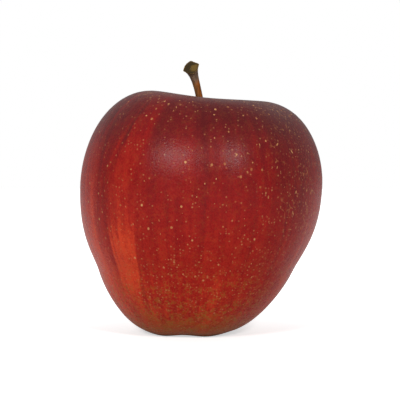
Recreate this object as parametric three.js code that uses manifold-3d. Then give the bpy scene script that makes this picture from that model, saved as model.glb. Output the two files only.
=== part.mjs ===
// A red apple standing on its calyx end: the fruit, its woody stem, and the dried calyx underneath.
// Millimetres, +Z up. The origin is the middle of the footprint, on the surface the apple stands on.
import * as THREE from 'three';
import * as BufferGeometryUtils from 'three/addons/utils/BufferGeometryUtils.js';
import Module from 'manifold-3d';

const wasm = await Module();
wasm.setup();

// Half outline of the fruit, measured from its own axis before it leans and swells
const fruitHeight = 72.5; // foot to crown
const widestRadius = 37.8;
const widestHeight = 45.9;
const footRadius = 11; // ring of the five lobes it stands on
const hipRadius = 30.3; // where the straight lower flank begins
const hipHeight = 19.3;
const hipSlope = 68.1; // degrees above level
const crownRadius = 17.7; // rim of the stem cavity
const footCurve = 7.4; // reach of each curve's handles
const hipCurveBelow = 8.9;
const hipCurveAbove = 6.1;
const flankCurve = 15.6;
const shoulderCurve = 13.2;
const crownCurve = 13.1;

// Hollows at the two ends
const cavityDepth = 14; // crown down to where the stem comes out
const cavityCurve = 7.5;
const throatCurve = 7;
const basinDepth = 7.5; // foot up to the eye
const basinCurve = 4;
const eyeRadius = 3.1;
const eyeDepth = 2.6; // pocket that holds the calyx
const stemPocketRadius = 1.8;
const stemPocketDepth = 3;
const gap = 0.3; // clear space between pieces that touch

// How the grown fruit departs from a turned one
const leanRight = 3.9; // drift of the crown from the foot
const leanForward = 2.2;
const crownTiltRight = 0.001; // fall of the crown, mm per mm
const crownTiltBack = 0.053;
const shoulderRise = 3; // the one shoulder that stands higher
const shoulderRiseAngle = 205; // degrees round from +X
const shoulderRiseSpread = 4.1; // power, higher is narrower
const lobeCount = 5;
const lobeTurn = -6.8; // degrees round the axis
const lobeSwell = 0.023; // at the crown, share of the radius
const threeSided = 0.018; // at the foot, share of the radius
const threeSidedTurn = 14.4;
const lobeDrop = 0.27; // how far a lobe hangs below the mean foot
const lobeFlat = 0.11; // how much of it the surface flattens
const lobeFadeHeight = 10;
const lobeFadeRadius = 5;

// Stem
const stemRootRadius = 1.5;
const stemShaftRadius = 1.09;
const stemHeadRadius = 2.38;
const stemHeight = 27.2; // pocket floor to the middle of the head
const stemLeanRight = -3.1; // head from root
const stemLeanForward = 1.2;
const stemBendLow = 0.42; // shares of the height where the bend's handles stand
const stemBendHigh = 0.72;
const stemBowLow = -0.28; // shares of the lean there, the low part bows the other way
const stemBowHigh = 0.1;
const stemScarSlope = 0.8; // mm per mm, the scar's far edge is the higher one
const stemScarDish = 0.5; // depth of the hollow in the scar
const stemCorner = 0.07; // how far the four corners of the head stand out, share of the radius
const stemRootTaper = 4; // powers along the length, higher keeps the change nearer the end
const stemHeadFlare = 14;
const stemScarReach = 8;

// Calyx
const sepalCount = 5;
const sepalLength = 8;
const sepalWidth = 2.7;
const sepalThickness = 0.7;
const sepalRingRadius = 2.3;
const sepalCurl = 2.6; // how far its tip turns out
const sepalHollow = 0.35; // how far its edges curl in
const sepalSunk = 0.6; // roots start this far below the top of the tube
const stamenCount = 7;
const stamenRadius = 0.32;
const stamenLength = 4.2;
const stamenRingRadius = 1.05;

// Facets
const fruitSides = 70;
const stemSides = 14;
const stemSteps = 20;
const sepalSteps = 8;
const weldDistance = 1e-4;

const cavityFloor = fruitHeight - cavityDepth;
const stemPocketFloor = cavityFloor - stemPocketDepth;
const eyeRoof = basinDepth + eyeDepth;
const calyxTop = eyeRoof - gap;
const tubeRadius = eyeRadius - gap;
const tubeHeight = eyeDepth - gap;

// Closed solid from a geometry: shared vertices merged, triangles that collapse at a pole left out
function toSolid(geometry) {
  const bare = geometry.clone();
  bare.deleteAttribute('normal');
  bare.deleteAttribute('uv');
  const merged = BufferGeometryUtils.mergeVertices(bare, weldDistance);
  const corners = merged.index.array;
  const kept = [];
  for (let i = 0; i < corners.length; i += 3) {
    const [a, b, c] = [corners[i], corners[i + 1], corners[i + 2]];
    if (a !== b && b !== c && c !== a) {
      kept.push(a, b, c);
    }
  }
  return new wasm.Manifold(new wasm.Mesh({
    numProp: 3,
    vertProperties: new Float32Array(merged.attributes.position.array),
    triVerts: new Uint32Array(kept),
  }));
}

function toGeometry(solid) {
  const mesh = solid.getMesh();
  const geometry = new THREE.BufferGeometry();
  geometry.setAttribute('position', new THREE.BufferAttribute(mesh.vertProperties, 3));
  geometry.setIndex(new THREE.BufferAttribute(mesh.triVerts, 1));
  geometry.computeVertexNormals();
  return geometry;
}

// Moves every vertex of a geometry by a function that changes a Vector3 in place
function reshape(geometry, change) {
  const position = geometry.attributes.position;
  const point = new THREE.Vector3();
  for (let i = 0; i < position.count; i += 1) {
    point.fromBufferAttribute(position, i);
    change(point);
    position.setXYZ(i, point.x, point.y, point.z);
  }
  return geometry;
}

function bell(value, width) {
  return Math.exp(-((value / width) ** 2));
}

// The living shape: takes a point of the turned apple to its place on the leaning, lobed one
function grow(point) {
  const radius = Math.hypot(point.x, point.y);
  const angle = Math.atan2(point.y, point.x);
  const inBasin = radius < footRadius && point.z < eyeRoof + gap; // nothing leans in there
  const height = inBasin ? 0 : THREE.MathUtils.clamp(point.z / fruitHeight, 0, 1);
  const drift = 1 - (1 - height) ** 3;
  const lobe = Math.sin(lobeCount * (angle - THREE.MathUtils.degToRad(lobeTurn)));
  const side = Math.cos(3 * (angle - THREE.MathUtils.degToRad(threeSidedTurn)));
  const swell = lobeSwell * lobe * height - threeSided * side * (1 - height);
  const x = radius * (1 + swell) * Math.cos(angle);
  const y = radius * (1 + swell) * Math.sin(angle);
  const footShare = bell(point.z, lobeFadeHeight) * (1 - bell(radius, lobeFadeRadius));
  const fromRise = angle - THREE.MathUtils.degToRad(shoulderRiseAngle);
  const rise = shoulderRise * ((1 + Math.cos(fromRise)) / 2) ** shoulderRiseSpread * height ** 8;
  const fall = (crownTiltRight * x + crownTiltBack * y) * height ** 2;
  point.set(
    x + leanRight * drift,
    y - leanForward * drift,
    point.z + lobeDrop - lobeFlat - lobeDrop * lobe * footShare - fall + rise,
  );
}

function curve2(from, handleOut, handleIn, to, steps) {
  const bend = new THREE.CubicBezierCurve(
    from, from.clone().add(handleOut), to.clone().add(handleIn), to,
  );
  return bend.getPoints(steps);
}

// Outline from the roof of the eye, round the foot and up the flank, to the floor of the stem pocket
function fruitOutline() {
  const flat = (radius, height) => new THREE.Vector2(radius, height);
  const eye = flat(eyeRadius, basinDepth);
  const foot = flat(footRadius, 0);
  const hip = flat(hipRadius, hipHeight);
  const widest = flat(widestRadius, widestHeight);
  const crown = flat(crownRadius, fruitHeight);
  const throat = flat(stemPocketRadius, cavityFloor);
  const slope = THREE.MathUtils.degToRad(hipSlope);
  const along = flat(Math.cos(slope), Math.sin(slope));
  return [
    flat(0, eyeRoof),
    flat(eyeRadius, eyeRoof),
    ...curve2(eye, flat(basinCurve, 0), flat(-basinCurve, 0), foot, 6),
    ...curve2(foot, flat(footCurve, 0), along.clone().multiplyScalar(-hipCurveBelow), hip, 8).slice(1),
    ...curve2(hip, along.clone().multiplyScalar(hipCurveAbove), flat(0, -flankCurve), widest, 6).slice(1),
    ...curve2(widest, flat(0, shoulderCurve), flat(crownCurve, 0), crown, 11).slice(1),
    ...curve2(crown, flat(-cavityCurve, 0), flat(0, throatCurve), throat, 8).slice(1),
    flat(stemPocketRadius, stemPocketFloor),
    flat(0, stemPocketFloor),
  ];
}

function fruitGeometry() {
  const turned = new THREE.LatheGeometry(fruitOutline(), fruitSides);
  turned.rotateX(Math.PI / 2);
  const grown = toSolid(reshape(turned, grow));
  const tableSize = 4 * widestRadius;
  const table = new THREE.BoxGeometry(tableSize, tableSize, tableSize).translate(0, 0, -tableSize / 2);
  return toGeometry(grown.subtract(toSolid(table)));
}

// Radius of the stem at a share of its length: thick root, slim shaft, flared head
function stemRadius(share) {
  const root = (stemRootRadius - stemShaftRadius) * (1 - share) ** stemRootTaper;
  const head = (stemHeadRadius - stemShaftRadius) * share ** stemHeadFlare;
  return stemShaftRadius + root + head;
}

function stemPath() {
  const root = new THREE.Vector3(0, 0, stemPocketFloor);
  grow(root);
  root.z += gap;
  const above = (leanShare, heightShare) => new THREE.Vector3(
    leanShare * stemLeanRight,
    -leanShare * stemLeanForward,
    heightShare * stemHeight,
  ).add(root);
  const low = above(stemBowLow, stemBendLow);
  const high = above(stemBowHigh, stemBendHigh);
  return new THREE.CubicBezierCurve3(root, low, high, above(1, 1));
}

function stemGeometry() {
  const path = stemPath();
  const straight = new THREE.CylinderGeometry(1, 1, 1, stemSides, stemSteps);
  straight.rotateX(Math.PI / 2);
  return toGeometry(toSolid(reshape(straight, (point) => {
    const along = point.z + 0.5;
    const share = along * (1.5 - 0.5 * along); // rings crowd towards the head
    const rim = Math.hypot(point.x, point.y);
    const angle = Math.atan2(point.y, point.x);
    const corner = 1 + stemCorner * share ** stemHeadFlare * Math.cos(4 * angle);
    const radius = rim * stemRadius(share) * corner;
    const slant = stemScarSlope * radius * Math.sin(angle) - stemScarDish * (1 - rim);
    const tangent = path.getTangent(share);
    const right = new THREE.Vector3(0, 1, 0).cross(tangent).normalize();
    const back = tangent.clone().cross(right);
    path.getPoint(share, point)
      .addScaledVector(right, radius * Math.cos(angle))
      .addScaledVector(back, radius * Math.sin(angle))
      .addScaledVector(tangent, slant * share ** stemScarReach);
  })));
}

// One dried sepal: hangs from the tube, then curls out to its tip
function sepal(angle) {
  const blade = new THREE.BoxGeometry(sepalWidth, sepalThickness, sepalLength, 4, 1, sepalSteps);
  return toSolid(reshape(blade, (point) => {
    const share = 0.5 - point.z / sepalLength;
    const taper = Math.sqrt(1 - 0.92 * share ** 1.5);
    const edge = (2 * point.x / sepalWidth) ** 2;
    const around = -point.x * taper;
    const out = sepalRingRadius + sepalCurl * share ** 3 + point.y - sepalHollow * edge * taper;
    point.set(
      out * Math.cos(angle) - around * Math.sin(angle),
      out * Math.sin(angle) + around * Math.cos(angle),
      calyxTop - sepalSunk - sepalLength * (share - share ** 3 / 5),
    );
  }));
}

function stamen(angle) {
  const thread = new THREE.CylinderGeometry(stamenRadius, stamenRadius, stamenLength, 5, 2);
  thread.rotateX(Math.PI / 2);
  const x = stamenRingRadius * Math.cos(angle);
  const y = stamenRingRadius * Math.sin(angle);
  return toSolid(thread.translate(x, y, calyxTop - tubeHeight / 2 - stamenLength / 2));
}

// The calyx hangs upside down, because the apple stands on that end
function calyxGeometry() {
  const tube = new THREE.CylinderGeometry(tubeRadius, tubeRadius, tubeHeight, 20);
  tube.rotateX(Math.PI / 2).translate(0, 0, calyxTop - tubeHeight / 2);
  let calyx = toSolid(tube);
  for (let i = 0; i < sepalCount; i += 1) {
    calyx = calyx.add(sepal(2 * Math.PI * (i + 0.25) / sepalCount));
  }
  for (let i = 0; i < stamenCount; i += 1) {
    calyx = calyx.add(stamen(2 * Math.PI * i / stamenCount));
  }
  const roof = new THREE.Vector3(0, 0, eyeRoof);
  grow(roof);
  return toGeometry(calyx).translate(roof.x, roof.y, roof.z - eyeRoof);
}

const skin = new THREE.MeshStandardMaterial({ color: 0x8e2320, roughness: 0.42, metalness: 0 });
const bark = new THREE.MeshStandardMaterial({ color: 0x7a5c38, roughness: 0.75, metalness: 0 });
const driedFlower = new THREE.MeshStandardMaterial({ color: 0x4a3626, roughness: 0.9, metalness: 0 });

function piece(name, geometry, material) {
  const mesh = new THREE.Mesh(geometry, material);
  mesh.name = name;
  return mesh;
}

const apple = new THREE.Group();
apple.add(
  piece('fruit', fruitGeometry(), skin),
  piece('stem', stemGeometry(), bark),
  piece('calyx', calyxGeometry(), driedFlower),
);

const footprint = new THREE.Box3().setFromObject(apple);
apple.position.x = -(footprint.min.x + footprint.max.x) / 2;
apple.position.y = -(footprint.min.y + footprint.max.y) / 2;

export default apple;
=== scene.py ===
import math

import bpy
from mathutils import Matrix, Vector, noise


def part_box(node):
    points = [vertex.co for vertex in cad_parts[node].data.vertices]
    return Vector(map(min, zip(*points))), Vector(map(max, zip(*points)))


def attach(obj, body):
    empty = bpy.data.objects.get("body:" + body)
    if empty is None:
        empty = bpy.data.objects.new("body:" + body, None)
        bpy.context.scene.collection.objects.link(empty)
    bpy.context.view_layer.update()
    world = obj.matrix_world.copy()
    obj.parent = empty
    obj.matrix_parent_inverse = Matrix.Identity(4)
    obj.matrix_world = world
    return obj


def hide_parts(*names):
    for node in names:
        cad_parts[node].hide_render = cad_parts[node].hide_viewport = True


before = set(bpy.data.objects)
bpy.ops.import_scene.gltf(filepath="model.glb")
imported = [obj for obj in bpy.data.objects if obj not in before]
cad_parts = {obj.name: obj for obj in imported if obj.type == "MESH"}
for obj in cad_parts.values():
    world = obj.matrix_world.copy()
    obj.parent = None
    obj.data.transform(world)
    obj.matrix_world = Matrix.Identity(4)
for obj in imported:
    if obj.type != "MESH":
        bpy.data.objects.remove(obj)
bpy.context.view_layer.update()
print("frame loaded")

mm = 0.001


# small helpers for both kinds of node tree

def feed(tree, socket, value):
    if isinstance(value, bpy.types.NodeSocket):
        tree.links.new(value, socket)
    elif value is not None:
        socket.default_value = value


def addNode(tree, kind, inputs=None, **settings):
    node = tree.nodes.new(kind)
    for key, value in settings.items():
        setattr(node, key, value)
    for key, value in (inputs or {}).items():
        feed(tree, node.inputs[key], value)
    return node


def calc(tree, operation, first, second=None, third=None, clamp=False):
    node = addNode(tree, "ShaderNodeMath", operation=operation, use_clamp=clamp)
    for spot, value in enumerate((first, second, third)):
        feed(tree, node.inputs[spot], value)
    return node.outputs[0]


def total(tree, *terms):
    result = terms[0]
    for term in terms[1:]:
        result = calc(tree, "ADD", result, term)
    return result


def product(tree, *factors):
    result = factors[0]
    for factor in factors[1:]:
        result = calc(tree, "MULTIPLY", result, factor)
    return result


def centred(tree, noiseValue, amount):
    return calc(tree, "MULTIPLY", calc(tree, "SUBTRACT", noiseValue, 0.5), amount)


def remap(tree, value, low, high, toLow=0.0, toHigh=1.0, smooth=True):
    kind = "SMOOTHSTEP" if smooth else "LINEAR"
    node = addNode(tree, "ShaderNodeMapRange", interpolation_type=kind)
    for spot, item in enumerate((value, low, high, toLow, toHigh)):
        feed(tree, node.inputs[spot], item)
    return node.outputs[0]


def split(tree, vector):
    return addNode(tree, "ShaderNodeSeparateXYZ", {"Vector": vector}).outputs


def join(tree, x=None, y=None, z=None):
    return addNode(tree, "ShaderNodeCombineXYZ", {"X": x, "Y": y, "Z": z}).outputs[0]


def noiseOf(tree, vector, scale, detail=2.0, rough=0.5):
    return addNode(tree, "ShaderNodeTexNoise", {
        "Vector": vector, "Scale": scale, "Detail": detail, "Roughness": rough}).outputs["Fac"]


def ownPlace(tree):
    return addNode(tree, "ShaderNodeTexCoord").outputs["Object"]


def attribute(tree, name, part="Fac"):
    return addNode(tree, "ShaderNodeAttribute", attribute_name=name).outputs[part]


# a node tree with named inputs, each with its kind and first value, and named outputs
def newTree(name, kind, inputs, outputs):
    tree = bpy.data.node_groups.new(name, kind)
    for label, socketKind, value in inputs:
        socket = tree.interface.new_socket(
            name=label, in_out="INPUT", socket_type="NodeSocket" + socketKind)
        if value is not None:
            socket.default_value = value
    for label, socketKind in outputs.items():
        tree.interface.new_socket(name=label, in_out="OUTPUT", socket_type="NodeSocket" + socketKind)
    return tree, tree.nodes.new("NodeGroupInput").outputs


def putOut(tree, *values):
    result = tree.nodes.new("NodeGroupOutput")
    for spot, value in enumerate(values):
        feed(tree, result.inputs[spot], value)


def store(tree, geometry, name, value, kind="FLOAT", domain="POINT"):
    return addNode(tree, "GeometryNodeStoreNamedAttribute", {
        "Geometry": geometry, "Name": name, "Value": value}, data_type=kind, domain=domain).outputs[0]


def setPosition(tree, geometry, **where):
    return addNode(tree, "GeometryNodeSetPosition", {"Geometry": geometry, **where}).outputs[0]


def endGeometry(tree, geometry, material):
    smooth = addNode(tree, "GeometryNodeSetShadeSmooth", {"Geometry": geometry})
    real = addNode(tree, "GeometryNodeRealizeInstances", {"Geometry": smooth.outputs[0]})
    coated = addNode(tree, "GeometryNodeSetMaterial", {
        "Geometry": real.outputs[0], "Material": material})
    putOut(tree, coated.outputs[0])


def place(piece, replaced=None):
    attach(piece, "root")
    if replaced:
        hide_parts(replaced)


def addObject(name, data):
    piece = bpy.data.objects.new(name, data)
    bpy.context.scene.collection.objects.link(piece)
    return piece


# runs a geometry tree on an empty mesh and keeps what it made as a plain mesh
def makeByTree(name, tree, values):
    piece = addObject(name, bpy.data.meshes.new(name))
    modifier = piece.modifiers.new("build", "NODES")
    modifier.node_group = tree
    for item in tree.interface.items_tree:
        if item.in_out == "INPUT" and item.name in values:
            modifier[item.identifier] = values[item.name]
    shown = piece.evaluated_get(bpy.context.evaluated_depsgraph_get())
    made = bpy.data.meshes.new_from_object(shown)
    piece.modifiers.remove(modifier)
    piece.data = made
    made.name = name
    return piece


def onCircle(turn):
    return Vector((math.cos(turn), math.sin(turn)))


# quads between rings of points that follow each other
def ringFaces(start, rings, sides):
    faces = []
    for low in range(start, start + (rings - 1) * sides, sides):
        for i in range(sides):
            j = (i + 1) % sides
            faces.append((low + i, low + j, low + sides + j, low + sides + i))
    return faces


def meshPiece(name, points, faces):
    mesh = bpy.data.meshes.new(name)
    mesh.from_pydata([tuple(point) for point in points], [], faces)
    mesh.shade_smooth()
    return addObject(name, mesh)


def srgb(red, green, blue):
    def straight(part):
        share = part / 255
        return share / 12.92 if share <= 0.04045 else ((share + 0.055) / 1.055) ** 2.4
    return (straight(red), straight(green), straight(blue), 1.0)


# fruit: the same half outline and growth as the solid, in millimetres
fruit = dict(
    height=72.5, widestRadius=37.8, widestHeight=45.9, footRadius=11, hipRadius=30.3, hipHeight=19.3,
    hipSlope=68.1, crownRadius=17.7, footCurve=7.4, hipCurveBelow=8.9, hipCurveAbove=6.1,
    flankCurve=15.6, shoulderCurve=13.2, crownCurve=13.1, cavityDepth=14, cavityCurve=7.5,
    throatCurve=7, basinDepth=7.5, basinCurve=4, eyeRadius=3.1, eyeDepth=2.6, pocketRadius=1.8,
    pocketDepth=3, gap=0.3,
    sides=260, rings=190, lumps=0.1, lumpScale=55.0, lumpSink=0.9,
    lobes=5, lobeFadeHeight=10, lobeFadeRadius=5,
)
growth = {
    "Lean Right": 3.9, "Lean Forward": 2.2, "Crown Tilt Right": 0.001, "Crown Tilt Back": 0.053,
    "Shoulder Rise": 3.0, "Shoulder Rise Angle": math.radians(205), "Shoulder Rise Spread": 4.1,
    "Lobe Turn": math.radians(-6.8), "Lobe Swell": 0.023, "Three Sided": 0.018,
    "Three Sided Turn": math.radians(14.4), "Lobe Drop": 0.27, "Lobe Flat": 0.11,
}
lengthInputs = ("Lean Right", "Lean Forward", "Shoulder Rise", "Lobe Drop", "Lobe Flat")
eyeRoof = fruit["basinDepth"] + fruit["eyeDepth"]
cavityFloor = fruit["height"] - fruit["cavityDepth"]
pocketFloor = cavityFloor - fruit["pocketDepth"]


# half outline as one Bezier curve in the XZ plane, from the roof of the eye to the stem pocket
def fruitOutline():
    slope = math.radians(fruit["hipSlope"])
    along = Vector((math.cos(slope), math.sin(slope)))
    crown = Vector((fruit["crownRadius"], fruit["height"]))
    stops = [  # point, handle before it, handle after it
        ((0, eyeRoof), (0, 0), (0, 0)),
        ((fruit["eyeRadius"], eyeRoof), (0, 0), (0, 0)),
        ((fruit["eyeRadius"], fruit["basinDepth"]), (0, 0), (fruit["basinCurve"], 0)),
        ((fruit["footRadius"], 0), (-fruit["basinCurve"], 0), (fruit["footCurve"], 0)),
        ((fruit["hipRadius"], fruit["hipHeight"]), -fruit["hipCurveBelow"] * along,
         fruit["hipCurveAbove"] * along),
        ((fruit["widestRadius"], fruit["widestHeight"]), (0, -fruit["flankCurve"]),
         (0, fruit["shoulderCurve"])),
        (crown, (fruit["crownCurve"], 0), (-fruit["cavityCurve"], 0)),
        ((fruit["pocketRadius"], cavityFloor), (0, fruit["throatCurve"]), (0, 0)),
        ((fruit["pocketRadius"], pocketFloor), (0, 0), (0, 0)),
        ((0, pocketFloor), (0, 0), (0, 0)),
    ]
    data = bpy.data.curves.new("fruitOutline", "CURVE")
    data.dimensions = "3D"
    data.resolution_u = 32
    spline = data.splines.new("BEZIER")
    spline.bezier_points.add(len(stops) - 1)
    for knot, (point, before, after) in zip(spline.bezier_points, stops):
        spot = Vector(point)
        knot.handle_left_type = knot.handle_right_type = "FREE"
        for name, flat in (("co", spot), ("handle_left", spot + Vector(before)),
                           ("handle_right", spot + Vector(after))):
            setattr(knot, name, Vector((flat.x, 0, flat.y)) * mm)
    return addObject("fruitOutline", data)


def bell(tree, value, width):
    share = calc(tree, "DIVIDE", value, width)
    return calc(tree, "EXPONENT", calc(tree, "MULTIPLY", calc(tree, "POWER", share, 2.0), -1.0))


# turns the outline round, then leans, tilts and lobes it as the fruit grew
def growTree():
    tree, given = newTree("growFruit", "GeometryNodeTree", [
        ("Outline", "Object", None), ("Sides", "Int", 64), ("Rings", "Int", 64),
        ("Height", "Float", 0.07), ("Foot Radius", "Float", 0.01), ("Basin Top", "Float", 0.01),
        *((name, "Float", 0.0) for name in growth),
        ("Lumps", "Float", 0.0), ("Skin", "Material", None)], {"Geometry": "Geometry"})

    grid = addNode(tree, "GeometryNodeMeshGrid", {
        "Vertices X": calc(tree, "ADD", given["Sides"], 1.0), "Vertices Y": given["Rings"]})
    uv = split(tree, grid.outputs["UV Map"])
    angle = calc(tree, "MULTIPLY_ADD", uv["X"], 2 * math.pi, math.pi / 2)  # seam at the back
    cosine = calc(tree, "COSINE", angle)
    sine = calc(tree, "SINE", angle)
    outline = addNode(tree, "GeometryNodeObjectInfo", {"Object": given["Outline"]})
    onOutline = addNode(tree, "GeometryNodeSampleCurve", {
        "Curves": outline.outputs["Geometry"], "Factor": uv["Y"]}, mode="FACTOR")
    profile = split(tree, onOutline.outputs["Position"])
    radius, level = profile["X"], profile["Z"]

    inBasin = product(tree, calc(tree, "LESS_THAN", radius, given["Foot Radius"]),
                      calc(tree, "LESS_THAN", level, given["Basin Top"]))
    share = calc(tree, "DIVIDE", level, given["Height"], clamp=True)
    share = product(tree, share, calc(tree, "SUBTRACT", 1.0, inBasin))
    left = calc(tree, "SUBTRACT", 1.0, share)
    drift = calc(tree, "SUBTRACT", 1.0, calc(tree, "POWER", left, 3.0))
    fromLobe = calc(tree, "SUBTRACT", angle, given["Lobe Turn"])
    lobe = calc(tree, "SINE", product(tree, fromLobe, float(fruit["lobes"])))
    fromThird = calc(tree, "SUBTRACT", angle, given["Three Sided Turn"])
    third = calc(tree, "COSINE", product(tree, fromThird, 3.0))
    swell = calc(tree, "SUBTRACT", product(tree, lobe, given["Lobe Swell"], share),
                 product(tree, given["Three Sided"], third, left))
    reach = calc(tree, "MULTIPLY_ADD", radius, swell, radius)
    x = product(tree, reach, cosine)
    y = product(tree, reach, sine)
    footShare = product(tree, bell(tree, level, fruit["lobeFadeHeight"] * mm),
                        calc(tree, "SUBTRACT", 1.0, bell(tree, radius, fruit["lobeFadeRadius"] * mm)))
    fromRise = calc(tree, "COSINE", calc(tree, "SUBTRACT", angle, given["Shoulder Rise Angle"]))
    rise = product(tree, given["Shoulder Rise"], calc(tree, "POWER", share, 8.0),
                   calc(tree, "POWER", calc(tree, "MULTIPLY_ADD", fromRise, 0.5, 0.5),
                        given["Shoulder Rise Spread"]))
    fall = product(tree, calc(tree, "POWER", share, 2.0),
                   total(tree, product(tree, given["Crown Tilt Right"], x),
                         product(tree, given["Crown Tilt Back"], y)))
    dip = product(tree, given["Lobe Drop"], lobe, footShare)
    up = total(tree, level, given["Lobe Drop"], rise)
    up = calc(tree, "SUBTRACT", up, total(tree, given["Lobe Flat"], dip, fall))
    grown = join(tree, calc(tree, "ADD", x, product(tree, given["Lean Right"], drift)),
                 calc(tree, "SUBTRACT", y, product(tree, given["Lean Forward"], drift)), up)
    shaped = setPosition(tree, grid.outputs["Mesh"], Position=grown)

    # the materials read the direction round the fruit and the share along the outline
    marked = store(tree, shaped, "facing", join(tree, cosine, sine, uv["Y"]), "FLOAT_VECTOR")
    mapped = store(tree, marked, "OFBake", grid.outputs["UV Map"], "FLOAT2", "CORNER")
    closed = addNode(tree, "GeometryNodeMergeByDistance", {"Geometry": mapped, "Distance": 0.01 * mm})

    # soft lumps that stay inside the solid, and no lower than the table
    soft = addNode(tree, "ShaderNodeTexNoise", {"Scale": fruit["lumpScale"], "Detail": 1.0})
    sunk = calc(tree, "SUBTRACT", soft.outputs["Fac"], fruit["lumpSink"])
    offset = product(tree, sunk, 2.0, given["Lumps"])
    push = addNode(tree, "ShaderNodeVectorMath", {"Scale": offset}, operation="SCALE")
    feed(tree, push.inputs[0], addNode(tree, "GeometryNodeInputNormal").outputs[0])
    lumpy = setPosition(tree, closed.outputs[0], Offset=push.outputs[0])
    spot = split(tree, addNode(tree, "GeometryNodeInputPosition").outputs[0])
    onTable = join(tree, spot["X"], spot["Y"], calc(tree, "MAXIMUM", spot["Z"], 0.0))
    endGeometry(tree, setPosition(tree, lumpy, Position=onTable), given["Skin"])
    return tree


# shader groups

def bandGroup():
    tree, given = newTree("meridianBand", "ShaderNodeTree", [
        ("Facing", "Vector", None), ("Angle", "Float", 0.0), ("Half Width", "Float", 0.1),
        ("Left Blur", "Float", 0.05), ("Right Blur", "Float", 0.05), ("Waver", "Float", 0.0)],
        {"Mask": "Float"})
    cosine = calc(tree, "COSINE", given["Angle"])
    sine = calc(tree, "SINE", given["Angle"])
    dots = []
    for direction in (join(tree, calc(tree, "MULTIPLY", sine, -1.0), cosine), join(tree, cosine, sine)):
        dot = addNode(tree, "ShaderNodeVectorMath", operation="DOT_PRODUCT")
        feed(tree, dot.inputs[0], given["Facing"])
        feed(tree, dot.inputs[1], direction)
        dots.append(dot.outputs["Value"])
    side = calc(tree, "ADD", dots[0], given["Waver"])
    leftEdge = calc(tree, "MULTIPLY", given["Half Width"], -1.0)
    inLeft = remap(tree, side, calc(tree, "SUBTRACT", leftEdge, given["Left Blur"]),
                   calc(tree, "ADD", leftEdge, given["Left Blur"]))
    inRight = remap(tree, side, calc(tree, "SUBTRACT", given["Half Width"], given["Right Blur"]),
                    calc(tree, "ADD", given["Half Width"], given["Right Blur"]), 1.0, 0.0)
    front = calc(tree, "GREATER_THAN", dots[1], 0.0)
    putOut(tree, product(tree, inLeft, inRight, front))
    return tree


def streakGroup():
    tree, given = newTree("meridianStreaks", "ShaderNodeTree", [
        ("Facing", "Vector", None), ("Scale", "Float", 5.0), ("Stretch", "Float", 0.3),
        ("Detail", "Float", 4.0), ("Roughness", "Float", 0.55), ("Seed", "Float", 0.0)],
        {"Value": "Float"})
    parts = split(tree, given["Facing"])
    coordinate = join(tree, parts["X"], parts["Y"], product(tree, parts["Z"], given["Stretch"]))
    streaks = addNode(tree, "ShaderNodeTexNoise", {
        "Vector": coordinate, "W": given["Seed"], "Scale": given["Scale"],
        "Detail": given["Detail"], "Roughness": given["Roughness"]}, noise_dimensions="4D")
    putOut(tree, streaks.outputs["Fac"])
    return tree


# fibres drawn out upwards, and soft blotches, for the two dry pieces
def fibreGroup():
    tree, given = newTree("dryFibre", "ShaderNodeTree", [
        ("Place", "Vector", None), ("Stretch", "Float", 0.2), ("Fibre Scale", "Float", 1000.0),
        ("Fibre Roughness", "Float", 0.5), ("Blotch Scale", "Float", 400.0)],
        {"Fibre": "Float", "Blotch": "Float", "Relief": "Float"})
    drawnOut = addNode(tree, "ShaderNodeMapping", {
        "Vector": given["Place"], "Scale": join(tree, 1.0, 1.0, given["Stretch"])})
    fibre = noiseOf(tree, drawnOut.outputs[0], given["Fibre Scale"], 4.0, given["Fibre Roughness"])
    blotch = noiseOf(tree, given["Place"], given["Blotch Scale"], 3.0)
    putOut(tree, fibre, blotch, total(tree, fibre, blotch))
    return tree


band = bandGroup()
streak = streakGroup()
dryFibre = fibreGroup()


def useGroup(tree, group, **values):
    node = addNode(tree, "ShaderNodeGroup", node_tree=group)
    for name, value in values.items():
        feed(tree, node.inputs[name.replace("_", " ")], value)
    return node.outputs


def blend(tree, share, first, second):
    node = addNode(tree, "ShaderNodeMix", data_type="RGBA")
    for spot, value in ((0, share), (6, first), (7, second)):  # factor and the two colours
        feed(tree, node.inputs[spot], value)
    return node.outputs[2]


def addBump(tree, shader, height, strength, depth):
    bump = addNode(tree, "ShaderNodeBump", {"Strength": strength, "Distance": depth, "Height": height})
    feed(tree, shader.inputs["Normal"], bump.outputs[0])


def newMaterial(name):
    material = bpy.data.materials.new(name)
    material.use_nodes = True
    tree = material.node_tree
    return material, tree, tree.nodes["Principled BSDF"]


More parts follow.
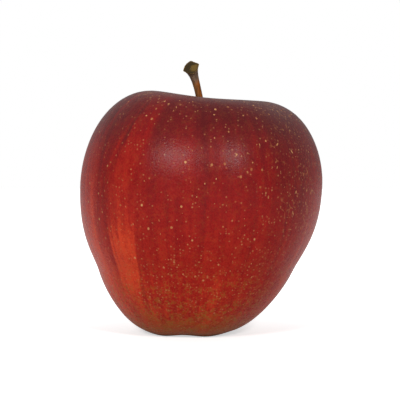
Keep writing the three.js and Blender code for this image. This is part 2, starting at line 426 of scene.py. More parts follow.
skin = dict(
    dark=srgb(82, 18, 20), crimson=srgb(104, 20, 21), red=srgb(129, 18, 16), bright=srgb(154, 31, 20),
    orange=srgb(194, 59, 30), ochre=srgb(158, 76, 16), olive=srgb(140, 96, 34), tan=srgb(190, 136, 88),
    # the pale rim tan below is russet with a painted sheen
    # the pinkish bloom colour below is partly a painted sheen
    russet=srgb(166, 104, 62), bloomAndSheen=srgb(160, 84, 88), lipRussetAndSheen=srgb(150, 112, 92), husk=srgb(112, 74, 44),
    # the dark brown next is for the painted contact shadow where the foot meets the table
    contactShadowBrown=srgb(72, 48, 20), roughness=0.29, gloss=0.09, poreStrength=0.5, poreDepth=0.12,
    # colours by warmth, from the dark crown, deepened by painted shade, to the streaks
    ramp=((0.0, "dark"), (0.25, "crimson"), (0.5, "red"), (0.75, "bright"), (1.0, "orange")),
    # how much each pattern moves the warmth
    warming=dict(broad=0.34, bold=0.45, fine=0.4, mottle=0.45, clouds=0.3, streaky=0.32),
    # streaks: scale, stretch along the meridian, detail, roughness, seed
    streaks=dict(
        broad=(1.6, 1.1, 2.0, 0.55, 3.1), bold=(5.5, 0.5, 5.0, 0.55, 1.7),
        fine=(22.0, 0.22, 4.0, 0.55, 5.3), rays=(9.0, 2.0, 5.0, 0.65, 8.2)),
    # grain: scale, detail, roughness
    grains=dict(
        mottle=(1500.0, 3.0, 0.65), clouds=(260.0, 4.0, 0.6), ragged=(300.0, 5.0, 0.7),
        frayed=(1000.0, 3.0, 0.5), gaps=(520.0, 3.0, 0.6), patches=(110.0, 3.0, 0.6),
        breaks=(620.0, 2.0, 0.5), crown=(240.0, 4.0, 0.6), throat=(420.0, 4.0, 0.65),
        scales=(700.0, 4.0, 0.7), pores=(2600.0, 2.0, 0.5)),
    # cells to a metre of the net, the freckles and the russet lines
    netCells=900.0, freckleCells=1100.0, russetCells=420.0,
    # fades by height: from and to in millimetres, and the amounts there
    heights=dict(
        warmth=(8, 74, 0.79, 0.22), topCrimsonAndShade=(58, 69, 0.0, -0.16), bloomAndSheen=(30, 62, 0.0, 0.05),
        foot=(1, 10, 0.85, 0.0), net=(2, 30, 0.75, 0.08), freckles=(6, 40, 0.6, 0.16),
        flank=(20, 34), marks=(10, 46, 0.55, 0.95), paintedContactShadow=(0.2, 2.2, 0.6, 0.0)),
    # fades by the share of the outline, from the eye up to the stem, or by a pattern
    fades=dict(
        rimOutside=(0.68, 0.75), rimInside=(0.76, 0.82, 1.0, 0.35), russet=(0.68, 0.75, 0.7, 0.5),
        lipOutside=(0.75, 0.785), lipInside=(0.8, 0.84, 1.0, 0.0), lipSheenBehind=(-0.2, 0.6, 0.1, 0.22),
        cavity=(0.84, 0.9), throat=(0.9, 0.97, 0.0, 0.7), basin=(0.06, 0.12, 0.8, 0.0),
        netLine=(0.02, 0.2, 1.0, 0.0), netGaps=(0.42, 0.62), freckle=(0.1, 0.42, 1.0, 0.0),
        russetLine=(0.02, 0.09, 1.0, 0.0), patches=(0.5, 0.64), breaks=(0.48, 0.6), mark=(0.08, 0.6),
        markTone=(0.0, 1.0, 0.6, 1.0), scales=(0.42, 0.6), contactShadowGaps=(0.38, 0.58, 0.5, 1.0)),
    # how far a pattern shifts an edge: by height in millimetres, else by the share of the outline
    edges=dict(bloomAndSheen=20, ragged=14, frayed=9, lipRays=0.08, lipGrain=0.05, cavityRays=0.16,
               cavityGrain=0.07, basin=0.05, waverFine=0.06, waverClouds=0.03),
    # wide soft bands: angle, half width, blur left and right
    streaky=(-146, 0.24, 0.2, 0.2), flank=(-30, 0.45, 0.35, 0.4),
)
# bands that run from end to end: angle, half width, blur left and right, levels of the fades at
# the foot and the top, how far each warms the colour, and how far it leans off the meridian
bands = dict(
    blaze=(-128.9, 0.132, 0.05, 0.02, (2, 24), (28, 51), 0.31, 3.0),
    crown=(-133.6, 0.105, 0.045, 0.045, (34, 56), (71, 77), 0.23, 8.0),
    crownEdge=(-140.4, 0.012, 0.016, 0.016, (56, 63), (70, 75), -0.17, 8.0),
    crownLine=(-142.8, 0.013, 0.018, 0.018, (48, 58), (70, 76), 0.2, 8.0),
    shoulderLine=(-159.0, 0.03, 0.03, 0.03, (60, 67), (74, 79), 0.24, 8.0),
    shade=(-147.0, 0.07, 0.08, 0.06, (20, 38), (66, 76), -0.06, 2.0),
    seam=(-88.5, 0.03, 0.04, 0.04, (22, 34), (66, 74), -0.12, 0.0),
    line=(-106.0, 0.016, 0.03, 0.03, (30, 40), (60, 70), -0.08, 0.0),
    leftEdge=(-164.0, 0.32, 0.15, 0.12, (0, 8), (48, 72), 0.32, 0.0),
    rightShade=(-42.0, 0.34, 0.3, 0.2, (26, 44), (72, 80), -0.15, 0.0),
    rightEdge=(-8.0, 0.34, 0.14, 0.15, (0, 8), (42, 60), 0.2, 0.0),
    back=(64.0, 0.2, 0.12, 0.04, (6, 20), (40, 66), 0.26, -3.0),
)
bandPivot = 40  # the height that a leaning band turns about


def skinMaterial():
    material, tree, shader = newMaterial("waxySkin")
    facing = attribute(tree, "facing", "Vector")
    way = split(tree, facing)
    along, behind = way["Z"], way["Y"]
    here = ownPlace(tree)
    level = split(tree, here)["Z"]
    edges = skin["edges"]

    def grain(name):
        return noiseOf(tree, here, *skin["grains"][name])

    def streaksOf(name):
        scale, stretch, detail, rough, seed = skin["streaks"][name]
        return useGroup(tree, streak, Facing=facing, Scale=scale, Stretch=stretch, Detail=detail,
                        Roughness=rough, Seed=seed)[0]

    def bandMask(angle, half, left, right, waver=0.0):
        return useGroup(tree, band, Facing=facing, Angle=math.radians(angle), Half_Width=half,
                        Left_Blur=left, Right_Blur=right, Waver=waver)[0]

    def byHeight(name, height=level, smooth=True):
        low, high, *amounts = skin["heights"][name]
        return remap(tree, height, low * mm, high * mm, *amounts, smooth=smooth)

    def fade(name, value):
        return remap(tree, value, *skin["fades"][name])

    def shifted(value, *shifts):
        return total(tree, value, *(centred(tree, pattern, amount) for pattern, amount in shifts))

    def cellsOf(scale, feature="F1"):
        return addNode(tree, "ShaderNodeTexVoronoi", {
            "Vector": here, "Scale": scale, "Randomness": 1.0}, feature=feature).outputs

    patterns = {name: streaksOf(name) for name in ("broad", "bold", "fine")}
    patterns.update((name, grain(name)) for name in ("mottle", "clouds"))
    fine, mottle, clouds = patterns["fine"], patterns["mottle"], patterns["clouds"]

    # one number says how far the colour has gone from dark crimson to orange
    warming = skin["warming"]
    # warmth falls with height, and near the top it falls further as painted shade
    warmth = calc(tree, "ADD", byHeight("warmth", smooth=False), byHeight("topCrimsonAndShade"))
    warmth = shifted(warmth, *((pattern, warming[name]) for name, pattern in patterns.items()))
    streaky = product(tree, bandMask(*skin["streaky"]), centred(tree, fine, warming["streaky"]))
    warmth = calc(tree, "ADD", warmth, streaky)
    waver = total(tree, centred(tree, fine, edges["waverFine"]),
                  centred(tree, clouds, edges["waverClouds"]))
    for angle, half, left, right, foot, top, amount, lean in bands.values():
        slant = calc(tree, "MULTIPLY", calc(tree, "SUBTRACT", bandPivot * mm, level), lean)
        mask = bandMask(angle, half, left, right, calc(tree, "ADD", waver, slant))
        ends = product(tree, remap(tree, level, foot[0] * mm, foot[1] * mm),
                       remap(tree, level, top[0] * mm, top[1] * mm, 1.0, 0.0))
        warmth = total(tree, warmth, product(tree, mask, ends, amount))

    ramp = addNode(tree, "ShaderNodeValToRGB", {"Fac": warmth})
    while len(ramp.color_ramp.elements) < len(skin["ramp"]):
        ramp.color_ramp.elements.new(0.5)
    for element, (spot, name) in zip(ramp.color_ramp.elements, skin["ramp"]):
        element.position = spot
        element.color = skin[name]
    colour = ramp.outputs["Color"]

    # a thin pinkish bloom dulls the upper half: wax bloom with a painted sheen from the highlights'
    # haze
    bloomAndSheen = byHeight("bloomAndSheen", shifted(level, (clouds, edges["bloomAndSheen"] * mm)))
    colour = blend(tree, bloomAndSheen, colour, skin["bloomAndSheen"])

    # ochre, unripe skin round the foot, ragged where it meets the red
    footEdge = shifted(level, (grain("ragged"), edges["ragged"] * mm),
                       (grain("frayed"), edges["frayed"] * mm))
    colour = blend(tree, byHeight("foot", footEdge), colour, skin["ochre"])

    # a fine olive net over the low half, thick at the foot and thin further up
    netLine = fade("netLine", cellsOf(skin["netCells"], "DISTANCE_TO_EDGE")["Distance"])
    net = product(tree, netLine, fade("netGaps", grain("gaps")), byHeight("net"))
    colour = blend(tree, net, colour, skin["olive"])

    # fine pale freckles, thicker towards the foot and on the right flank
    flank = bandMask(*skin["flank"])
    chance = total(tree, byHeight("freckles"), product(tree, flank, 0.25))
    cells = cellsOf(skin["freckleCells"])
    lucky = addNode(tree, "ShaderNodeSeparateColor", {"Color": cells["Color"]}).outputs
    chosen = product(tree, calc(tree, "LESS_THAN", lucky["Red"], chance),
                     remap(tree, lucky["Green"], 0.0, 1.0, 0.1, 0.5, False))
    colour = blend(tree, product(tree, chosen, fade("freckle", cells["Distance"])), colour, skin["tan"])

    # russet: thin broken lines in patches on the right flank and round the rim
    rim = product(tree, fade("rimOutside", along), fade("rimInside", along))
    line = fade("russetLine", cellsOf(skin["russetCells"], "DISTANCE_TO_EDGE")["Distance"])
    patch = fade("patches", total(tree, grain("patches"), product(tree, rim, 0.05)))
    where = calc(tree, "MAXIMUM", product(tree, flank, byHeight("flank")), rim)
    russet = product(tree, line, patch, fade("breaks", grain("breaks")), where, fade("russet", along))
    colour = blend(tree, russet, colour, skin["russet"])

    # the raised lenticels carry a mark that is strongest in their middle
    spot, tone = attribute(tree, "spot"), attribute(tree, "tone")
    faint = product(tree, byHeight("marks"), fade("markTone", tone))
    markColour = blend(tree, tone, skin["russet"], skin["tan"])
    colour = blend(tree, product(tree, fade("mark", spot), faint), colour, markColour)

    # the rim is pale russet with a painted sheen, paler at the back where its inner slope faces the
    # lamps, and the stem cavity turns russet and olive towards the stem
    rays = streaksOf("rays")
    atCrown = shifted(along, (rays, edges["lipRays"]), (grain("crown"), edges["lipGrain"]))
    lipRussetAndSheen = product(tree, fade("lipSheenBehind", behind), fade("lipOutside", atCrown),
                  fade("lipInside", atCrown))
    colour = blend(tree, lipRussetAndSheen, colour, skin["lipRussetAndSheen"])
    deepIn = shifted(along, (rays, edges["cavityRays"]), (grain("throat"), edges["cavityGrain"]))
    cavity = fade("cavity", deepIn)
    scaly = blend(tree, fade("scales", grain("scales")), skin["russet"], skin["husk"])
    scaly = blend(tree, fade("throat", along), scaly, skin["olive"])
    colour = blend(tree, product(tree, cavity, 0.85), colour, scaly)

    # the basin is olive, and a painted contact shadow darkens the skin that stands on the table
    colour = blend(tree, fade("basin", shifted(along, (fine, edges["basin"]))), colour, skin["olive"])
    paintedContactShadow = product(tree, byHeight("paintedContactShadow"), fade("contactShadowGaps", grain("gaps")))
    colour = blend(tree, paintedContactShadow, colour, skin["contactShadowBrown"])

    feed(tree, shader.inputs["Base Color"], colour)
    patchy = total(tree, skin["roughness"], centred(tree, mottle, 0.2), centred(tree, clouds, 0.16),
                   product(tree, cavity, 0.3))
    feed(tree, shader.inputs["Roughness"], patchy)
    shader.inputs["Specular IOR Level"].default_value = skin["gloss"]
    pores = total(tree, product(tree, grain("pores"), 0.6), mottle, fine)
    addBump(tree, shader, pores, skin["poreStrength"], skin["poreDepth"] * mm)
    return material


skinWax = skinMaterial()
outline = fruitOutline()
fruitValues = {
    "Outline": outline, "Sides": fruit["sides"], "Rings": fruit["rings"],
    "Height": fruit["height"] * mm, "Foot Radius": fruit["footRadius"] * mm,
    "Basin Top": (eyeRoof + fruit["gap"]) * mm, "Lumps": fruit["lumps"] * mm, "Skin": skinWax,
}
for key, amount in growth.items():
    fruitValues[key] = amount * mm if key in lengthInputs else amount
fruitSkin = makeByTree("fruit_skin", growTree(), fruitValues)
bpy.data.objects.remove(outline)


# the solid stands with its box centred on the origin, so the skin is slid to it
def boxCentre(low, high):
    return (Vector(low) + Vector(high)) / 2


cadLow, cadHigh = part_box("fruit")
ownLow = Vector([min(v.co[i] for v in fruitSkin.data.vertices) for i in range(3)])
ownHigh = Vector([max(v.co[i] for v in fruitSkin.data.vertices) for i in range(3)])
slide = boxCentre(cadLow, cadHigh) - boxCentre(ownLow, ownHigh)
slide.z = 0
for vertex in fruitSkin.data.vertices:
    vertex.co += slide
place(fruitSkin, "fruit")
print("fruit skin:", len(fruitSkin.data.polygons), "faces, slid by", [round(c / mm, 2) for c in slide])


# where a point of the fruit's own axis ends up, as the tree does it
def grownAxis(level):
    inBasin = level < eyeRoof + fruit["gap"]
    share = 0 if inBasin else min(level / fruit["height"], 1)
    drift = 1 - (1 - share) ** 3
    up = level + growth["Lobe Drop"] - growth["Lobe Flat"]
    return Vector((growth["Lean Right"] * drift, -growth["Lean Forward"] * drift, up)) * mm + slide


# lenticels: small scabs, wide apart and larger above, thick and fine below and on the right
lenticels = {
    "Spacing": 1.15 * mm, "Density": 150000.0, "Smallest": 0.17 * mm, "Largest": 0.6 * mm,
    "Stretch": 1.3, "Height": 0.035 * mm, "Seed": 7,
}
scabSides = 9
scabFoot = -0.3  # how deep the edge of a scab sinks, as a share of its height
atlasCells = 56  # each scab bakes to its own cell of a square sheet
cellFill = 0.4  # radius of the scab, as a share of its cell


def lenticelTree():
    tree, given = newTree("spreadLenticels", "GeometryNodeTree", [
        ("Fruit", "Object", None),
        *((name, "Int" if name == "Seed" else "Float", 0) for name in lenticels),
        ("Cells", "Int", 1), ("Skin", "Material", None)], {"Geometry": "Geometry"})

    def vary(low, high, shift):
        node = addNode(tree, "FunctionNodeRandomValue", data_type="FLOAT")
        feed(tree, node.inputs[2], low)
        feed(tree, node.inputs[3], high)
        feed(tree, node.inputs["Seed"], calc(tree, "ADD", given["Seed"], shift))
        return node.outputs[1]

    def stored(name, kind):
        node = addNode(tree, "GeometryNodeInputNamedAttribute", {"Name": name}, data_type=kind)
        return node.outputs[0]

    # where they grow
    fruitMesh = addNode(tree, "GeometryNodeObjectInfo", {"Object": given["Fruit"]}).outputs["Geometry"]
    level = split(tree, addNode(tree, "GeometryNodeInputPosition").outputs[0])["Z"]
    way = split(tree, stored("facing", "FLOAT_VECTOR"))
    toRight, along = way["X"], way["Z"]
    low = remap(tree, level, 12 * mm, 50 * mm, 0.75, 0.2)
    right = product(tree, remap(tree, toRight, 0.35, 0.9), remap(tree, level, 20 * mm, 34 * mm), 0.42)
    rim = product(tree, remap(tree, along, 0.67, 0.72, 0.0, 0.42),
                  remap(tree, toRight, -0.6, 0.2, 0.4, 1.0))
    outside = product(tree, remap(tree, along, 0.07, 0.12), remap(tree, along, 0.80, 0.86, 1.0, 0.12))
    offTable = remap(tree, level, 0.6 * mm, 1.6 * mm)
    factor = product(tree, total(tree, low, right, rim), outside, offTable)
    scattered = addNode(tree, "GeometryNodeDistributePointsOnFaces", {
        "Mesh": fruitMesh, "Distance Min": given["Spacing"], "Density Max": given["Density"],
        "Density Factor": factor, "Seed": given["Seed"]}, distribute_method="POISSON")

    # one scab: a low dome that remembers how far each point is from its edge
    disc = addNode(tree, "GeometryNodeMeshCircle", {"Vertices": scabSides, "Radius": 1.0},
                   fill_type="TRIANGLE_FAN")
    flat = addNode(tree, "GeometryNodeInputPosition").outputs[0]
    length = addNode(tree, "ShaderNodeVectorMath", operation="LENGTH")
    feed(tree, length.inputs[0], flat)
    fromEdge = calc(tree, "SUBTRACT", 1.0, length.outputs["Value"])
    marked = store(tree, disc.outputs[0], "spot", fromEdge)
    marked = store(tree, marked, "inCell", flat, "FLOAT_VECTOR")
    lift = join(tree, z=remap(tree, fromEdge, 0.0, 1.0, scabFoot, 1.0, False))
    scab = setPosition(tree, marked, Offset=lift)

    # they run up and down the fruit, longer and more tangled on the right and at the rim
    upward = addNode(tree, "FunctionNodeAxesToRotation", {
        "Primary Axis": scattered.outputs["Normal"], "Secondary Axis": (0.0, 0.0, 1.0)},
        primary_axis="Z", secondary_axis="Y")
    tilt = product(tree, vary(-1.0, 1.0, 3.0), calc(tree, "MULTIPLY_ADD", right, 2.6, 0.35))
    turned = addNode(tree, "FunctionNodeRotateRotation", {
        "Rotation": upward.outputs[0], "Rotate By": join(tree, z=tilt)}, rotation_space="LOCAL")
    luck = calc(tree, "POWER", vary(0.0, 1.0, 1.0), remap(tree, level, 20 * mm, 56 * mm, 4.5, 1.15))
    span = calc(tree, "SUBTRACT", given["Largest"], given["Smallest"])
    size = calc(tree, "MULTIPLY_ADD", luck, span, given["Smallest"])
    scratched = calc(tree, "MAXIMUM", right, remap(tree, along, 0.70, 0.78, 0.0, 0.45))
    stretch = product(tree, given["Stretch"], calc(tree, "MULTIPLY_ADD", scratched, 6.0, 1.0))
    long = calc(tree, "MULTIPLY_ADD", calc(tree, "POWER", vary(0.0, 1.0, 2.0), 3.0), stretch, 1.0)
    size = calc(tree, "DIVIDE", size, calc(tree, "POWER", long, 0.45))
    copies = addNode(tree, "GeometryNodeInstanceOnPoints", {
        "Points": scattered.outputs["Points"], "Instance": scab, "Rotation": turned.outputs[0],
        "Scale": join(tree, size, product(tree, size, long), given["Height"])})
    number = addNode(tree, "GeometryNodeInputIndex").outputs[0]
    numbered = store(tree, copies.outputs[0], "cell", number, "INT", "INSTANCE")
    toned = store(tree, numbered, "tone", vary(0.0, 1.0, 4.0), "FLOAT", "INSTANCE")
    real = addNode(tree, "GeometryNodeRealizeInstances", {"Geometry": toned})

    # the sheet that each bakes to, cell by cell
    cell, own = stored("cell", "INT"), split(tree, stored("inCell", "FLOAT_VECTOR"))
    column = calc(tree, "MODULO", cell, given["Cells"])
    row = calc(tree, "FLOORED_MODULO", calc(tree, "FLOOR", calc(tree, "DIVIDE", cell, given["Cells"])),
               given["Cells"])
    sheet = []
    for step, part in ((column, own["X"]), (row, own["Y"])):
        inside = calc(tree, "MULTIPLY_ADD", part, cellFill, calc(tree, "ADD", step, 0.5))
        sheet.append(calc(tree, "DIVIDE", inside, given["Cells"]))
    mapped = store(tree, real.outputs[0], "OFBake", join(tree, *sheet), "FLOAT2", "CORNER")
    endGeometry(tree, mapped, given["Skin"])
    return tree


scabs = makeByTree("lenticels", lenticelTree(), {
    **lenticels, "Fruit": fruitSkin, "Cells": atlasCells, "Skin": skinWax})
place(scabs)
print("lenticels:", len(scabs.data.polygons) // scabSides)


# stem, in millimetres and shares of its length, as the solid with fibres, corners and a scar
stem = dict(
    root=1.5, shaft=1.09, head=2.38, height=27.0, leanRight=-3.15, leanForward=1.2, bendLow=0.42,
    bendHigh=0.72, bowLow=-0.28, bowHigh=0.1, scarSlope=0.8, scarDish=0.5, scarRough=0.16, scarReach=8,
    rootTaper=4, headFlare=14, cornerReach=9,
    corners=((6, 1.17), (75, 0.95), (125, 0.87), (182, 1.17), (261, 0.9), (316, 0.96)), sharp=0.9,
    sides=56, rings=90, scarRings=9, fibre=0.035, heart=0.42,
)


def stemRadius(share):
    root = (stem["root"] - stem["shaft"]) * (1 - share) ** stem["rootTaper"]
    head = (stem["head"] - stem["shaft"]) * share ** stem["headFlare"]
    return stem["shaft"] + root + head


def bezier(points, share):
    left = 1 - share
    a, b, c, d = points
    spot = a * left ** 3 + 3 * b * left ** 2 * share + 3 * c * left * share ** 2 + d * share ** 3
    run = 3 * ((b - a) * left ** 2 + 2 * (c - b) * left * share + (d - c) * share ** 2)
    return spot, run.normalized()


# how far the outline of the head reaches in one direction, as a share of its radius
def headReach(turn):
    spots = [onCircle(math.radians(angle)) * reach for angle, reach in stem["corners"]]
    way = onCircle(turn)
    for first, second in zip(spots, spots[1:] + spots[:1]):
        side = second - first
        reach = (first.x * side.y - first.y * side.x) / (way.x * side.y - way.y * side.x)
        along = (way * reach - first).dot(side) / side.length_squared
        if reach > 0 and -1e-6 <= along <= 1 + 1e-6:
            return 1 + (reach - 1) * stem["sharp"]
    return 1


def makeStem():
    root = grownAxis(pocketFloor) / mm + Vector((0, 0, fruit["gap"]))

    def above(lean, rise):
        return root + Vector((
            lean * stem["leanRight"], -lean * stem["leanForward"], rise * stem["height"]))

    low = above(stem["bowLow"], stem["bendLow"])
    path = [root, low, above(stem["bowHigh"], stem["bendHigh"]), above(1, 1)]
    points, marks = [], []
    turns = [2 * math.pi * i / stem["sides"] for i in range(stem["sides"])]
    stations = [(step / stem["rings"] * (1.5 - 0.5 * step / stem["rings"]), 1.0)
                for step in range(stem["rings"] + 1)]
    stations += [(1.0, 1 - step / stem["scarRings"]) for step in range(1, stem["scarRings"])]
    for share, rim in stations:
        centre, tangent = bezier(path, share)
        right = Vector((0, 1, 0)).cross(tangent).normalized()
        back = tangent.cross(right)
        flare = share ** stem["headFlare"]
        for turn in turns:
            spoke = onCircle(turn).to_3d()
            fibre = noise.noise(spoke * 3.2 + Vector((0, 0, share * 3.0))) * stem["fibre"]
            fibre += noise.noise(spoke * 1.1 + Vector((4, 0, share * 5.0))) * stem["fibre"]
            corner = 1 + (headReach(turn) - 1) * share ** stem["cornerReach"]
            radius = rim * stemRadius(share) * corner * (1 + fibre)
            rough = noise.noise(spoke * rim * 2.5 + Vector((7, 1, 0))) * stem["scarRough"] * flare
            heart = math.exp(-((rim * spoke - Vector((0.3, -0.1, 0))).length / 0.65) ** 2)
            dish = stem["scarDish"] * (1 - rim ** 3) * 1.25 - stem["heart"] * heart if rim < 1 else 0
            slant = stem["scarSlope"] * radius * math.sin(turn) - dish + rough
            reach = slant * share ** stem["scarReach"]
            points.append((centre + right * radius * spoke.x + back * radius * spoke.y
                           + tangent * reach) * mm)
            marks.append((rim, share, heart if rim < 1 else 0.0))
    sides = stem["sides"]
    faces = ringFaces(0, len(stations), sides)
    last = (len(stations) - 1) * sides
    for end, order in ((0, -1), (last, 1)):
        middle = sum((points[end + i] for i in range(sides)), Vector()) / sides
        points.append(middle)
        marks.append((0.0, marks[end][1], 0.6))
        for i in range(sides):
            pair = (end + i, end + (i + 1) % sides)[::order]
            faces.append((*pair, len(points) - 1))
    piece = meshPiece("stem_bark", points, faces)
    mark = piece.data.attributes.new("bark", "FLOAT_VECTOR", "POINT")
    for i, value in enumerate(marks):
        mark.data[i].vector = value
    return piece


bark = dict(
    # the amber below is painted light for the stem's right side, and the grey is partly a painted
    # highlight
    brown=srgb(130, 84, 42), paintedLightAmber=srgb(164, 88, 20), greyAndHighlight=srgb(116, 94, 76), dark=srgb(54, 37, 20),
    # the hollow colour is painted shade in the scar's dish, and the rim colour is partly painted light
    olive=srgb(104, 80, 32), rim=srgb(134, 100, 34), hollow=srgb(52, 40, 14), gloss=0.22,
    fibres=dict(Stretch=0.12, Fibre_Scale=1800.0, Fibre_Roughness=0.6, Blotch_Scale=500.0), relief=0.15,
)


def barkMaterial():
    material, tree, shader = newMaterial("stemBark")
    mark = split(tree, attribute(tree, "bark", "Vector"))
    fromMiddle, share, heart = mark["X"], mark["Y"], mark["Z"]
    side = split(tree, addNode(tree, "ShaderNodeNewGeometry").outputs["Normal"])["X"]
    dry = useGroup(tree, dryFibre, Place=ownPlace(tree), **bark["fibres"])
    blotch = dry["Blotch"]

    # brown, with painted light in amber on the side facing right, grey under the head that is partly a
    # painted highlight, and dark furrows
    # painted light: amber on the faces whose normal points right
    paintedLitSide = remap(tree, total(tree, side, product(tree, blotch, 0.5)), -0.1, 0.9)
    colour = blend(tree, paintedLitSide, bark["brown"], bark["paintedLightAmber"])
    # partly a painted highlight: grey under the head stands in for the shine just below the scar's lip
    high = remap(tree, total(tree, share, product(tree, blotch, 0.12)), 0.84, 0.95)
    colour = blend(tree, high, colour, bark["greyAndHighlight"])
    colour = blend(tree, remap(tree, dry["Fibre"], 0.35, 0.62, 0.75, 0.0), colour, bark["dark"])

    # the scar: a hollow painted dark as shade round an olive heart, and a pale rim that is partly
    # painted light on the lip
    onScar = product(tree, remap(tree, share, 0.992, 1.0), remap(tree, fromMiddle, 0.985, 0.93))
    heartMask = remap(tree, total(tree, heart, centred(tree, blotch, 0.7)), 0.2, 0.75)
    colour = blend(tree, onScar, colour, blend(tree, heartMask, bark["hollow"], bark["olive"]))
    scarRim = product(tree, remap(tree, share, 0.985, 0.998), remap(tree, fromMiddle, 0.9, 0.97), 0.8)
    colour = blend(tree, scarRim, colour, bark["rim"])

    feed(tree, shader.inputs["Base Color"], colour)
    feed(tree, shader.inputs["Roughness"], remap(tree, blotch, 0.3, 0.7, 0.45, 0.65))
    shader.inputs["Specular IOR Level"].default_value = bark["gloss"]
    addBump(tree, shader, dry["Relief"], 0.5, bark["relief"] * mm)
    return material


stemPiece = makeStem()
stemPiece.data.materials.append(barkMaterial())
place(stemPiece, "stem")
print("stem:", len(stemPiece.data.polygons), "faces")


# calyx: five crinkled sepals and a tuft of stamens on a short tube, hanging in the basin
calyx = dict(
    sepals=5, length=8, width=2.7, thickness=0.55, ring=2.3, curl=2.6, hollow=0.35, sunk=0.6,
    across=10, steps=26, crinkle=0.28, stamens=11, stamenRadius=0.2, stamenLength=4.2, stamenRing=1.2,
)
tubeRadius = fruit["eyeRadius"] - fruit["gap"]
tubeHeight = fruit["eyeDepth"] - fruit["gap"]
calyxTop = eyeRoof - fruit["gap"]


def tube(parts, path, radii, sides):
    points, faces = parts
    start = len(points)
    for spot, radius in zip(path, radii):
        for i in range(sides):
            points.append(spot + onCircle(2 * math.pi * i / sides).to_3d() * radius)
    faces.extend(ringFaces(start, len(path), sides))
    faces.append(tuple(start + i for i in reversed(range(sides))))
    faces.append(tuple(start + (len(path) - 1) * sides + i for i in range(sides)))


def sepal(parts, angle, seed):
    points, faces = parts
    start = len(points)
    steps, across = calyx["steps"], calyx["across"]
    for layer in (-0.5, 0.5):
        for step in range(steps + 1):
            share = step / steps
            taper = math.sqrt(max(1 - 0.97 * share ** 1.6, 0))
            for i in range(across + 1):
                side = 2 * i / across - 1
                wave = noise.noise(Vector((side * 1.3, share * 3.5, seed)))
                wave = wave * calyx["crinkle"] * (0.3 + share)
                thick = calyx["thickness"] * (1 - 0.45 * side * side) * (1 - 0.4 * share)
                width = side * calyx["width"] / 2 * taper
                out = calyx["ring"] + calyx["curl"] * share ** 3 + layer * thick + wave
                out -= calyx["hollow"] * side * side * taper
                down = calyxTop - calyx["sunk"] - calyx["length"] * (share - share ** 3 / 5)
                points.append(Vector((out * math.cos(angle) + width * math.sin(angle),
                                      out * math.sin(angle) - width * math.cos(angle), down)))
    row = across + 1
    sheet = row * (steps + 1)
    for step in range(steps):
        for i in range(across):
            a = start + step * row + i
            faces.append((a, a + row, a + row + 1, a + 1))
            b = a + sheet
            faces.append((b, b + 1, b + row + 1, b + row))
    rim = [start + i for i in range(row)]
    rim += [start + step * row + across for step in range(1, steps + 1)]
    rim += [start + steps * row + i for i in range(across - 1, -1, -1)]
    rim += [start + step * row for step in range(steps - 1, 0, -1)]
    for a, b in zip(rim, rim[1:] + rim[:1]):
        faces.append((a, b, b + sheet, a + sheet))


def makeCalyx():
    parts = ([], [])
    tube(parts, [Vector((0, 0, calyxTop - tubeHeight)), Vector((0, 0, calyxTop))],
         [tubeRadius, tubeRadius], 40)
    for i in range(calyx["sepals"]):
        sepal(parts, 2 * math.pi * (i + 0.25) / calyx["sepals"], 3.7 * i)
    for i in range(calyx["stamens"]):
        turn = 2 * math.pi * i / calyx["stamens"]
        foot = onCircle(turn).to_3d() * calyx["stamenRing"] * (1 if i % 3 else 0.45)
        foot.z = calyxTop - tubeHeight
        length = calyx["stamenLength"] - tubeHeight / 2 - 0.5 * (i % 4) / 4
        path, radii = [], []
        for step in range(9):
            share = step / 8
            sway = Vector([noise.noise(Vector((i, share * 2, row))) for row in (0, 9)]).to_3d()
            path.append(foot + sway * 0.35 * share + Vector((0, 0, 0.4 - (length + 0.4) * share)))
            head = 1.6 if 5 < step < 8 else 1.0
            radii.append(calyx["stamenRadius"] * head * (1 - 0.35 * share))
        tube(parts, path[::-1], radii[::-1], 8)
    points, faces = parts
    shift = grownAxis(eyeRoof) / mm - Vector((0, 0, eyeRoof))
    return meshPiece("dried_calyx", [(point + shift) * mm for point in points], faces)


dried = dict(
    brown=srgb(92, 66, 44), pale=srgb(146, 118, 86), dark=srgb(44, 32, 24), roughness=0.85,
    veins=dict(Stretch=0.3, Fibre_Scale=1300.0, Fibre_Roughness=0.5, Blotch_Scale=420.0), relief=0.2,
)


def calyxMaterial():
    material, tree, shader = newMaterial("driedCalyx")
    dry = useGroup(tree, dryFibre, Place=ownPlace(tree), **dried["veins"])
    colour = blend(tree, remap(tree, dry["Blotch"], 0.35, 0.65), dried["brown"], dried["pale"])
    colour = blend(tree, remap(tree, dry["Fibre"], 0.35, 0.6, 0.8, 0.0), colour, dried["dark"])
    feed(tree, shader.inputs["Base Color"], colour)
    shader.inputs["Roughness"].default_value = dried["roughness"]
    addBump(tree, shader, dry["Relief"], 0.6, dried["relief"] * mm)
    return material


calyxPiece = makeCalyx()
calyxPiece.data.materials.append(calyxMaterial())
place(calyxPiece, "calyx")
print("calyx:", len(calyxPiece.data.polygons), "faces")


# camera, at the photograph's angle: almost level, from far off
shot = dict(aim=(-0.37, 1.52, 41.6), distance=700, elevation=4, lens=201.4)


def makeCamera():
    data = bpy.data.cameras.new("camera")
    data.lens = shot["lens"]
    data.sensor_width = 36
    data.clip_start = 0.05
    data.clip_end = 20
    camera = addObject("camera", data)
    tilt = math.radians(shot["elevation"])
    back = Vector((0, -math.cos(tilt), math.sin(tilt)))
    camera.location = (Vector(shot["aim"]) + back * shot["distance"]) * mm
    camera.rotation_euler = (-back).to_track_quat("-Z", "Y").to_euler()
    bpy.context.scene.camera = camera


# light: two soft boxes in front at head height, a white room, a white table that glows as painted fill
# light and is painted darker round the apple
light = dict(
    leftAzimuth=-23.8, leftHeight=25.3, leftSize=0.22, leftPower=5.8,
    rightAzimuth=21.8, rightHeight=27.6, rightSize=0.16, rightPower=5.25, distance=1.1,
    roomFront=0.05, roomBack=0.36, roomTop=1.9,
    table=0.76, tableRadius=0.7, tablePaintedFillGlow=0.2, tableWhiteInPaintedShade=0.6,
)


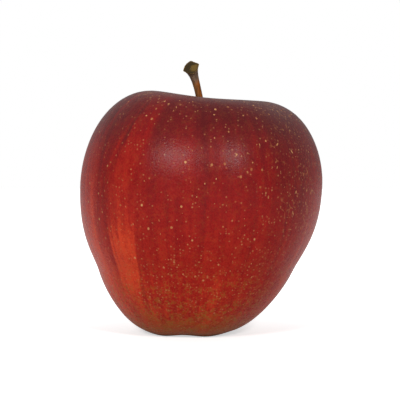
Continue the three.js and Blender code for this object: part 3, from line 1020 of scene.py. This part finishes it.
def makeLamp(name, side):
    data = bpy.data.lights.new(name, "AREA")
    data.shape = "DISK"
    data.size = light[side + "Size"]
    data.energy = light[side + "Power"]
    lamp = addObject(name, data)
    turn, tilt = math.radians(light[side + "Azimuth"]), math.radians(light[side + "Height"])
    away = Vector((math.sin(turn) * math.cos(tilt), -math.cos(turn) * math.cos(tilt), math.sin(tilt)))
    centre = Vector((0, 0, 0.04))
    lamp.location = centre + away * light["distance"]
    lamp.rotation_euler = away.to_track_quat("Z", "Y").to_euler()


# the room is pale beyond the apple, brighter overhead and dark behind the camera
def makeRoom():
    world = bpy.data.worlds.new("room")
    bpy.context.scene.world = world
    world.use_nodes = True
    tree = world.node_tree
    back = tree.nodes["Background"]
    back.inputs["Color"].default_value = (1, 1, 1, 1)
    seen = addNode(tree, "ShaderNodeLightPath").outputs["Is Camera Ray"]
    way = addNode(tree, "ShaderNodeTexCoord").outputs["Generated"]
    sides = split(tree, way)
    glow = remap(tree, sides["Y"], -0.7, 0.5, light["roomFront"], light["roomBack"])
    glow = product(tree, glow, remap(tree, sides["Z"], 0.3, 0.6, 1.0, light["roomTop"]))
    feed(tree, back.inputs["Strength"], remap(tree, seen, 0.0, 1.0, glow, 1.0, False))


def makeTable():
    bpy.ops.mesh.primitive_circle_add(vertices=96, radius=light["tableRadius"], fill_type="NGON")
    table = bpy.context.object
    table.name = "table"
    material, tree, shader = newMaterial("paleTable")
    fromMiddle = addNode(tree, "ShaderNodeVectorMath", operation="LENGTH")
    feed(tree, fromMiddle.inputs[0], ownPlace(tree))
    shader.inputs["Base Color"].default_value = (light["table"],) * 3 + (1,)
    shader.inputs["Roughness"].default_value = 0.9
    shader.inputs["Specular IOR Level"].default_value = 0.1
    shader.inputs["Emission Color"].default_value = (1, 1, 1, 1)
    seen = addNode(tree, "ShaderNodeLightPath").outputs["Is Camera Ray"]
    # painted shadow: to the camera the table's glow is weaker within 10 cm of the apple; beyond 9 cm
    # the table glows onto the apple as painted fill light
    white = remap(tree, fromMiddle.outputs["Value"], 0.03, 0.1, light["tableWhiteInPaintedShade"], 1.0)
    beyond = remap(tree, fromMiddle.outputs["Value"], 0.035, 0.09, 0.0, light["tablePaintedFillGlow"])
    glow = remap(tree, seen, 0.0, 1.0, beyond, white, False)
    feed(tree, shader.inputs["Emission Strength"], glow)
    table.data.materials.append(material)


makeCamera()
makeLamp("lampLeft", "left")
makeLamp("lampRight", "right")
makeRoom()
makeTable()
bpy.context.scene.view_settings.view_transform = "Standard"
print("camera, two lamps, room and table: ready")
